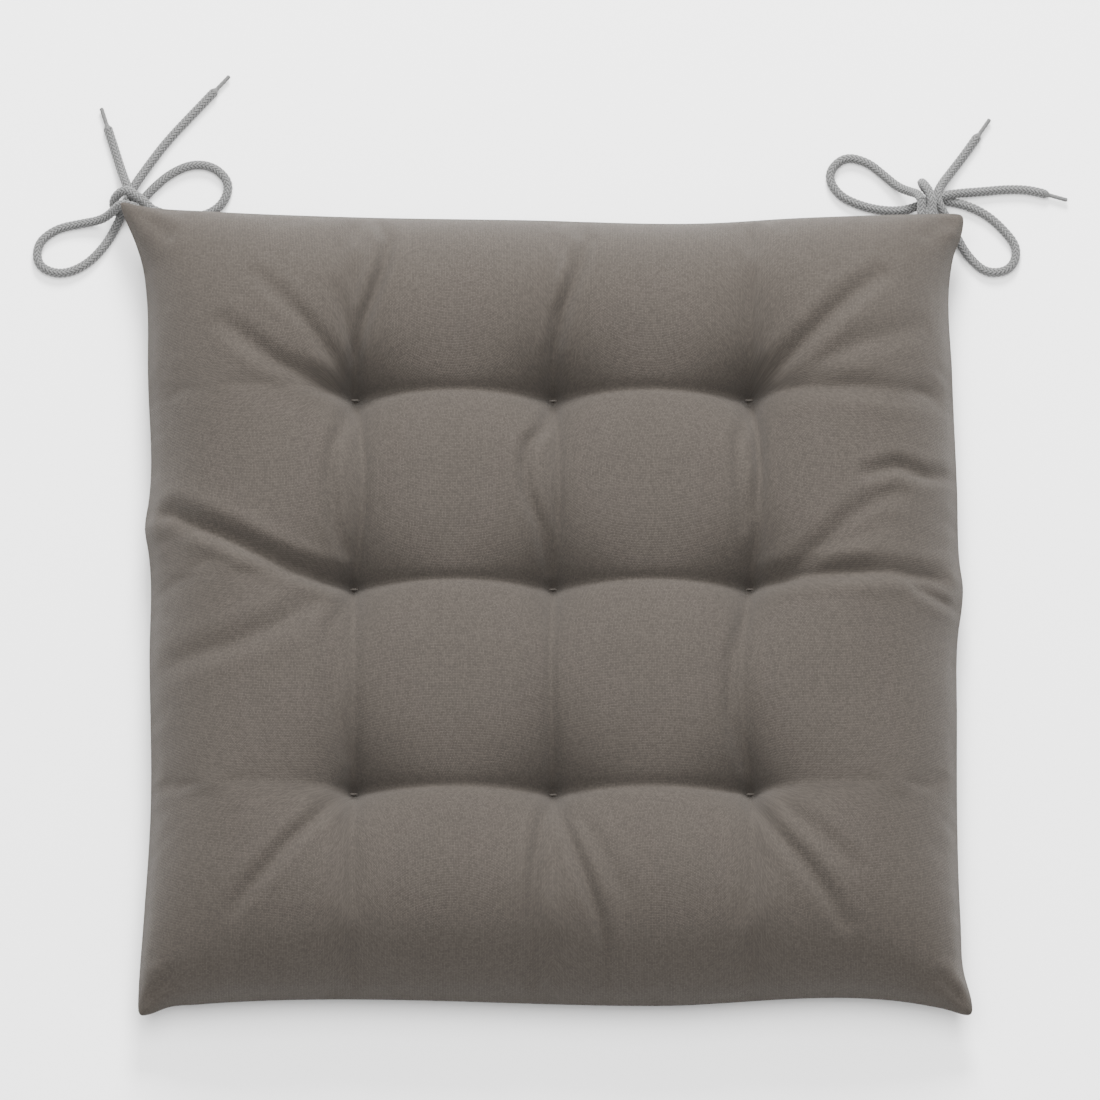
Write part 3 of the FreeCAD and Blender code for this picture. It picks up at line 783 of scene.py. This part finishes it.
def cover_mesh(name, top, underside):
    """One closed mesh of both panels and the knife edge between them."""
    rows, columns = border_of(top)
    border = top[rows, columns]
    outward = outward_directions(border)
    top_index = np.arange(top[..., 0].size).reshape(top.shape[:2])
    under_index = top_index + top_index.size
    top, underside = top.copy(), underside.copy()
    top[rows, columns] = border - PANEL_INSET * outward + PANEL_LIFT
    underside[rows, columns] = border - PANEL_INSET * outward - PANEL_LIFT
    verts = [top.reshape(-1, 3), underside.reshape(-1, 3)]
    top_uv, under_uv = cloth_places(top), cloth_places(underside) * (-1, 1)
    uvs = [top_uv.reshape(-1, 2), under_uv.reshape(-1, 2)]
    faces = grid_faces(top_index) + [face[::-1] for face in grid_faces(under_index)]
    before = top_index[rows, columns]
    for k, (inset, lift) in enumerate(EDGE_RINGS):
        ring = 2 * top_index.size + k * len(border) + np.arange(len(border))
        verts.append(border - outward * inset * MM + np.array((0, 0, lift * MM)))
        upper = k < len(EDGE_RINGS) / 2
        beyond = outward[:, :2] * (k + 1 if upper else len(EDGE_RINGS) - k) * RING_WIDTH
        uvs.append((top_uv if upper else under_uv)[rows, columns] + beyond * ((1, 1) if upper else (-1, 1)))
        faces += ring_faces(before, ring)
        before = ring
    faces += ring_faces(before, under_index[rows, columns])
    return new_object(name, np.concatenate(verts), faces, np.concatenate(uvs))


def make_cushion(materials):
    """The cover, simulated and folded, as one closed piece. Gives back the grids of its two panels."""
    u, v = np.meshgrid(GRID_U, GRID_V)
    x, y = plan(u, v)
    top_z, under_z = panel_heights(u, v)
    top, underside = np.stack([x, y, top_z], -1), np.stack([x, y, under_z], -1)
    top, underside = simulated(top, underside)
    height = underside[..., 2]
    underside[..., 2] = np.where(height < SEAM, soft_floor(height), height)
    cover = cover_mesh("cushion_cover", top, underside)
    finish_piece(cover, "pad", ["top_cover", "bottom_cover"], materials["fabric"])
    subdivide(cover)
    add_folds(cover)
    return top, underside


class Nodes:
    """Short ways to add and link the nodes of one material."""

    def __init__(self, name):
        self.material = bpy.data.materials.new(name)
        self.material.use_nodes = True
        self.tree = self.material.node_tree
        self.shader = self.tree.nodes["Principled BSDF"]

    def add(self, kind, settings=None, **inputs):
        """A node with some of its settings and of its inputs set, or linked, by name."""
        node = self.tree.nodes.new("ShaderNode" + kind)
        for key, value in (settings or {}).items():
            setattr(node, key, value)
        for key, value in inputs.items():
            self.put(node.inputs[key.replace("_", " ")], value)
        return node

    def put(self, socket, value):
        """Sets or links one socket."""
        if isinstance(value, bpy.types.NodeSocket):
            self.tree.links.new(value, socket)
        else:
            socket.default_value = value

    def math(self, operation, *values):
        """The result of a Math node."""
        node = self.add("Math")
        node.operation = operation
        for socket, value in zip(node.inputs, values):
            self.put(socket, value)
        return node.outputs[0]

    def product(self, *factors):
        """The product of several numbers."""
        result = factors[0]
        for factor in factors[1:]:
            result = self.math("MULTIPLY", result, factor)
        return result

    def spread(self, value, low, high):
        """A value from 0 to 1 mapped onto low to high."""
        return self.add("MapRange", Value=value, To_Min=low, To_Max=high).outputs[0]

    def noise(self, vector, scale, detail=2.0):
        """A noise texture's value."""
        return self.add("TexNoise", Vector=vector, Scale=scale, Detail=detail).outputs["Fac"]

    def mix(self, share, first, second):
        """A colour between two."""
        node = self.add("Mix", {"data_type": "RGBA"}, Factor=share, A=first, B=second)
        return node.outputs["Result"]

    def choose(self, share, first, second):
        """A number between two."""
        return self.add("Mix", Factor=share, A=first, B=second).outputs[0]

    def random(self, value):
        """A random number from 0 to 1 for each value."""
        return self.add("TexWhiteNoise", {"noise_dimensions": "1D"}, W=value).outputs["Value"]

    def tinted(self, color, shade):
        """A colour made lighter or darker."""
        node = self.add("VectorMath", {"operation": "SCALE"}, Scale=shade)
        self.put(node.inputs[0], color)
        return node.outputs[0]

    def stretched(self, vector, *scale):
        """A vector scaled by its own factor on each axis."""
        return self.add("Mapping", Vector=vector, Scale=scale).outputs[0]

    def bump(self, height, distance, strength=1.0, normal=None):
        """A normal bent by a height."""
        node = self.add("Bump", Height=height, Distance=distance, Strength=strength)
        if normal is not None:
            self.put(node.inputs["Normal"], normal)
        return node.outputs[0]

    def finish(self, color, roughness, normal, sheen=0.0, sheen_tint=(1, 1, 1, 1), specular=0.3):
        """Sets the shader's inputs."""
        self.put(self.shader.inputs["Base Color"], color)
        self.put(self.shader.inputs["Roughness"], roughness)
        self.put(self.shader.inputs["Normal"], normal)
        self.put(self.shader.inputs["Specular IOR Level"], specular)
        self.put(self.shader.inputs["Sheen Weight"], sheen)
        self.put(self.shader.inputs["Sheen Roughness"], 0.5)
        self.put(self.shader.inputs["Sheen Tint"], sheen_tint)
        return self.material


# Materials, with colours as linear light
FABRIC_COLOR = (0.0424, 0.0360, 0.0304)
CORD_COLOR = (0.112, 0.112, 0.111)
TIP_COLOR = (0.085, 0.085, 0.084)
THREAD_COLOR = (0.062, 0.053, 0.045)
THREAD_PITCH = 0.8 * MM  # between neighbouring threads of the cover's weave
OTHER_THREADS = 977.0  # keeps the weft's random tones apart from the warp's
ROW_OF_CROSSINGS = 613.0  # so that each crossing of two threads has a number of its own
SLUB_FINE, SLUB_LONG = 1300.0, 240.0  # noise scales across and along the thick and thin stretches of yarn
FILAMENTS = 5  # that show across a yarn of the braid


def fabric_material():
    """Matt taupe plain weave: warp and weft threads that pass over and under each other, with painted shade
    where they dip.
    """
    n = Nodes("taupe_weave")
    cloth = n.add("TexCoord").outputs["UV"]
    place = n.add("SeparateXYZ", Vector=cloth)
    warp = n.math("DIVIDE", place.outputs[0], THREAD_PITCH)
    weft = n.math("DIVIDE", place.outputs[1], THREAD_PITCH)
    warp_share, weft_share = n.math("FRACT", warp), n.math("FRACT", weft)
    warp_round = n.math("SINE", n.product(warp_share, math.pi))
    weft_round = n.math("SINE", n.product(weft_share, math.pi))
    crossing = n.math("ADD", n.math("FLOOR", warp), n.math("FLOOR", weft))
    warp_over = n.math("GREATER_THAN", n.math("FLOORED_MODULO", crossing, 2.0), 0.5)
    warp_height = n.product(warp_round, n.math("POWER", weft_round, 0.5))
    weft_height = n.product(weft_round, n.math("POWER", warp_round, 0.5))
    height = n.choose(warp_over, weft_height, warp_height)
    warp_tone = n.random(n.math("FLOOR", warp))
    weft_tone = n.random(n.math("FLOOR", n.math("ADD", weft, OTHER_THREADS)))
    tone = n.choose(warp_over, weft_tone, warp_tone)
    row_of_crossing = n.product(n.math("FLOOR", weft), ROW_OF_CROSSINGS)
    crossing_number = n.math("ADD", n.math("FLOOR", warp), row_of_crossing)
    warp_slub = n.noise(n.stretched(cloth, SLUB_FINE, SLUB_LONG, 1.0), 1.0)
    weft_slub = n.noise(n.stretched(cloth, SLUB_LONG, SLUB_FINE, 1.0), 1.0)
    broad = n.noise(cloth, 22.0, 3.0)
    # painted shade: the first factor darkens the colour where the threads dip between each other; the other
    # factors are tone that differs at random
    shade = n.product(
        n.spread(height, 0.78, 1.04),
        n.spread(tone, 0.97, 1.03),
        n.spread(n.random(crossing_number), 0.84, 1.16),
        n.spread(warp_slub, 0.9, 1.1),
        n.spread(weft_slub, 0.9, 1.1),
        n.spread(broad, 0.96, 1.04),
    )
    fuzz = n.noise(cloth, 4200.0, 1.0)
    normal = n.bump(n.math("ADD", height, n.product(fuzz, 0.35)), 0.14 * MM, 0.7)
    roughness = n.spread(height, 0.97, 0.84)
    return n.finish(n.tinted(FABRIC_COLOR, shade), roughness, normal, 0.08, (0.9, 0.85, 0.8, 1), 0.2)


def cord_material(name, color, braid_depth):
    """Light grey yarn with fine filaments, with painted shade between its yarns. braid_depth is 1 for the
    open braid, less where it melted.
    """
    n = Nodes(name)
    along = n.add("TexCoord").outputs["UV"]
    place = n.add("SeparateXYZ", Vector=along)
    turn = n.product(place.outputs[0], CARRIERS)
    run = n.math("DIVIDE", place.outputs[1], BRAID_PITCH)
    one_way, other_way = n.math("ADD", turn, run), n.math("SUBTRACT", turn, run)
    crossing = n.math("ADD", n.math("FLOOR", one_way), n.math("FLOOR", other_way))
    first_over = n.math("LESS_THAN", n.math("FLOORED_MODULO", crossing, 4.0), 2.0)
    across = n.choose(first_over, n.math("FRACT", other_way), n.math("FRACT", one_way))
    round_off = n.math("SINE", n.product(across, math.pi))
    filaments = n.math("SINE", n.product(across, 2 * math.pi * FILAMENTS))
    filaments = n.math("MULTIPLY_ADD", filaments, 0.5, 0.5)
    spot = n.add("TexCoord").outputs["Object"]
    melange = n.noise(spot, 900.0, 3.0)
    broad = n.noise(spot, 60.0)
    # painted shade and light: darker where the yarns dip under each other and between their filaments,
    # lighter on their crowns; melange and broad are tone that differs at random
    shade = n.product(
        n.spread(round_off, 1 - 0.94 * braid_depth, 1.18),
        n.spread(melange, 0.66, 1.34),
        n.spread(filaments, 1 - 0.22 * braid_depth, 1.06),
        n.spread(broad, 0.95, 1.05),
    )
    roughness = n.spread(round_off, 0.85, 0.6)
    normal = n.bump(filaments, 0.05 * MM, 0.6 * braid_depth)
    normal = n.bump(melange, 0.08 * MM, 0.4, normal)
    return n.finish(n.tinted(color, shade), roughness, normal, 0.2 * braid_depth, (1, 1, 1, 1), 0.35)


def thread_material():
    """Twisted sewing thread, a little lighter than the cover."""
    n = Nodes("stitch_thread")
    spot = n.add("TexCoord").outputs["Object"]
    fibres = n.noise(spot, 5200.0, 2.0)
    plies = n.noise(spot, 1300.0, 1.0)
    shade = n.product(n.spread(fibres, 0.72, 1.2), n.spread(plies, 0.85, 1.15))
    color = n.tinted(THREAD_COLOR, shade)
    return n.finish(color, n.spread(fibres, 0.75, 0.55), n.bump(fibres, 0.05 * MM, 0.6), 0.1)


def fibre_material():
    """White polyester fibre, matted together."""
    n = Nodes("filling_fibre")
    spot = n.add("TexCoord").outputs["Object"]
    strands = n.noise(n.stretched(spot, 1.0, 3.0, 6.0), 350.0, 6.0)
    tufts = n.noise(spot, 45.0, 3.0)
    color = n.mix(strands, (0.62, 0.62, 0.60, 1), (0.86, 0.86, 0.84, 1))
    normal = n.bump(n.math("ADD", strands, tufts), 1.2 * MM, 0.7)
    return n.finish(color, n.spread(strands, 0.98, 0.85), normal, 0.4)


def floor_material():
    """Plain pale studio floor."""
    n = Nodes("studio_floor")
    grain = n.noise(n.add("TexCoord").outputs["Object"], 300.0)
    color = n.mix(grain, (0.91, 0.91, 0.91, 1), (0.93, 0.93, 0.93, 1))
    return n.finish(color, 0.9, n.bump(grain, 0.02 * MM, 0.1), specular=0.1)


# name, place, size and power of each lamp
LIGHTS = [
    ("key", (0.12, 1.9, 1.3), 0.7, 138.0),
    ("overhead", (0.0, 0.3, 2.4), 2.2, 128.0),
]
SKY = 0.98  # strength of the plain white surroundings
FLOOR_REACH = 9.0


def make_stage():
    """A pale floor, a lamp behind the pad's back edge, a wide one above it, and even light from all round."""
    corners = [(x * FLOOR_REACH, y * FLOOR_REACH, 0) for x, y in ((-1, -1), (1, -1), (1, 1), (-1, 1))]
    floor = new_object("floor", corners, [(0, 1, 2, 3)])
    floor.data.materials.append(floor_material())
    for name, place, size, power in LIGHTS:
        data = bpy.data.lights.new(name, "AREA")
        data.shape = "SQUARE"
        data.size = size
        data.energy = power
        light = bpy.data.objects.new(name, data)
        bpy.context.scene.collection.objects.link(light)
        light.location = place
        light.rotation_euler = (-Vector(place)).to_track_quat("-Z", "Y").to_euler()
    world = bpy.data.worlds.new("studio")
    world.use_nodes = True
    world.node_tree.nodes["Background"].inputs["Color"].default_value = (1, 1, 1, 1)
    world.node_tree.nodes["Background"].inputs["Strength"].default_value = SKY
    bpy.context.scene.world = world


FILLING_GAP = 2.4 * MM  # between the filling and the cover's outer face
FILLING_INSET = 6.0 * MM  # how far it stays in from the knife edge
GROOVE_LINES = 2  # how many lines of the grid away a groove in the cover lowers the filling


def offset_filling(top, underside):
    """The filling's top and underside: the panels moved inwards, on every second line of the grid."""
    rows = sorted(set(range(0, len(GRID_V), 2)) | set(TUFT_LINES_V))
    columns = sorted(set(range(0, len(GRID_U), 2)) | set(TUFT_LINES_U))
    layers = []
    for sheet, direction in ((top, -1.0), (underside, 1.0)):
        normal = unit(np.cross(np.gradient(sheet, axis=1), np.gradient(sheet, axis=0)))
        inner = sheet + normal * direction * FILLING_GAP
        if direction < 0:
            grooves = np.minimum(folds_at(sheet[..., 0], sheet[..., 1]), 0)
            for axis in (0, 1):
                near = [np.roll(grooves, k, axis) for k in range(-GROOVE_LINES, GROOVE_LINES + 1)]
                grooves = np.min(near, axis=0)
            inner[..., 2] += grooves
        inner[..., 2] = np.maximum(inner[..., 2], FILLING_GAP)
        layers.append(inner[np.ix_(rows, columns)])
    return layers


def make_filling(top, underside, materials):
    """The fibre inside the cover."""
    upper, lower = offset_filling(top, underside)
    rows, columns = border_of(upper)
    outline = (upper[rows, columns] + lower[rows, columns]) / 2
    outline -= outward_directions(outline) * FILLING_INSET
    upper[rows, columns] = outline
    verts, faces, _, _ = sewn_panels(upper, lower)
    filling = new_object("filling_fibre_block", verts, faces)
    finish_piece(filling, "pad", ["filling"], materials["fibre"])


# Stitches
THREAD = 1.0 * MM
THREAD_PLIES = 3
PLY_RELIEF = 0.14  # how far the plies stand out, as a share of the thread's radius
THREAD_CORE = 0.9  # and how thick the thread is between them
STITCH_SPAN = 3.4 * MM
STITCH_TWIST = 2.6 * MM
STITCH_BEND = 1.0 * MM
STITCH_LIFT = 0.3 * THREAD  # from the cloth to the middle of the thread that lies on it
STITCH_STEP = 0.15 * MM  # between the rings of a stitch's mesh
STITCH_POINTS = 18
KNOT = 1.15 * MM  # size of the knot's loops
KNOT_DROP = 0.3 * MM  # from the thread underneath to the middle of the knot
KNOT_POINTS = 90
SEAM_DEPTH = 0.7 * MM  # how deep in the groove the seam's stitches lie
SEAM_WEAVE = 0.35 * MM  # how far they come out between the needle holes
SEAM_SWING = 0.55 * MM  # and how far they swing up and down
SEAM_POINTS = 8
SEAM_THREAD, SEAM_STITCH = 0.45 * MM, 3.2 * MM  # diameter and stitch length, by machine
HAND_THREAD, HAND_STITCH = 0.6 * MM, 6.0 * MM  # and by hand


def twisted(turn, along, diameter=THREAD, twist=STITCH_TWIST):
    """Profile of a thread of three plies."""
    plies = np.abs(np.sin(np.pi * (THREAD_PLIES * turn + along / twist)))
    radius = diameter / 2 * (THREAD_CORE + PLY_RELIEF * plies)
    return radius, radius


def cover_heights(x, y):
    """Heights of the cover's top and underside where a stitch goes through."""
    cover = bpy.data.objects["cushion_cover"]
    heights = []
    for start in (1.0, -1.0):
        for beside in (-STITCH_SPAN / 2, 0, STITCH_SPAN / 2):
            place = cover.ray_cast(Vector((x + beside, y, start)), Vector((0, 0, -start)))[1]
            heights.append(place.z)
    return max(heights[:3]), min(heights[3:])


def make_tuft(name, x, y, top_z, under_z, materials):
    """One stitch through the pad: a bar on top, its two legs, and a bar and a knot underneath."""
    half = STITCH_SPAN / 2
    bend = STITCH_BEND * (1 - math.sqrt(0.5))
    high, low = top_z + STITCH_LIFT, under_z - STITCH_LIFT
    inner = half - STITCH_BEND
    side = [(0, high), (inner, high), (half - bend, high - bend), (half, high - STITCH_BEND)]
    side += [(half, low + STITCH_BEND), (half - bend, low + bend), (inner, low), (0, low)]
    loop = [(x + dx, y, z) for dx, z in side] + [(x - dx, y, z) for dx, z in side[-2::-1]]
    t = np.linspace(0, 2 * np.pi, KNOT_POINTS)
    knot = np.stack([np.sin(t) + 2 * np.sin(2 * t), np.cos(t) - 2 * np.cos(2 * t), -np.sin(3 * t)], 1)
    knot = knot * KNOT / 3 + (x, y, low - KNOT_DROP)
    lines = {"loop": np.array(loop), "knot": knot}
    pieces = [swept(part, line, STITCH_STEP, twisted, STITCH_POINTS) for part, line in lines.items()]
    stitch = joined(f"tuft_stitch_{name}", pieces)
    finish_piece(stitch, "pad", [f"tuft_thread_{name}"], materials["thread"])


def make_seam_stitches(top, materials):
    """The stitching that shows in the groove of the knife edge, and the hand-sewn stretch at the front."""
    rows, columns = border_of(top)
    border = top[rows, columns]
    outward = outward_directions(border)
    border, outward = (np.concatenate([values, values[:1]]) for values in (border, outward))
    along = distances_along(border)
    front = slice(top.shape[1])
    closing_low, closing_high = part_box("closing_thread")
    start, end = np.interp((closing_low.x, closing_high.x), border[front, 0], along[front])
    stretches = [
        ("seam_stitching", "seam_thread", end, along[-1] + start, SEAM_STITCH, SEAM_THREAD),
        ("closing_stitches", "closing_thread", start, end, HAND_STITCH, HAND_THREAD),
    ]
    for name, node, first, last, stitch, thread in stretches:
        places = np.arange(first, last, stitch / 10)
        wrapped = np.mod(places, along[-1])
        centre, out = at_distances(border, along, wrapped), at_distances(outward, along, wrapped)
        phase = 2 * np.pi * places / stitch
        line = centre - out * (SEAM_DEPTH - SEAM_WEAVE * np.abs(np.cos(phase)))[:, None]
        line[:, 2] += SEAM_SWING * np.sin(phase)
        profile = partial(twisted, diameter=thread, twist=stitch / 3)
        piece = swept(name, line, stitch / 12, profile, SEAM_POINTS)
        finish_piece(piece, "pad", [node], materials["thread"])


make_camera()
make_stage()
MATERIALS = {
    "cord": cord_material("cord_braid", CORD_COLOR, 1.0),
    "tip": cord_material("cord_sealed", TIP_COLOR, 0.35),
    "fabric": fabric_material(),
    "thread": thread_material(),
    "fibre": fibre_material(),
}
for tie in PIVOTS:
    for strand in "ab":
        make_strand(tie, strand, MATERIALS)
    make_anchor(tie, MATERIALS)
cushion_top, cushion_underside = make_cushion(MATERIALS)
make_filling(cushion_top, cushion_underside, MATERIALS)
make_seam_stitches(cushion_top, MATERIALS)
for row, j in zip(TUFT_ROWS, TUFT_LINES_V):
    for column, i in zip(TUFT_COLUMNS, TUFT_LINES_U):
        x, y, _ = cushion_top[j, i]
        make_tuft(f"{row}_{column}", x, y, *cover_heights(x, y), MATERIALS)
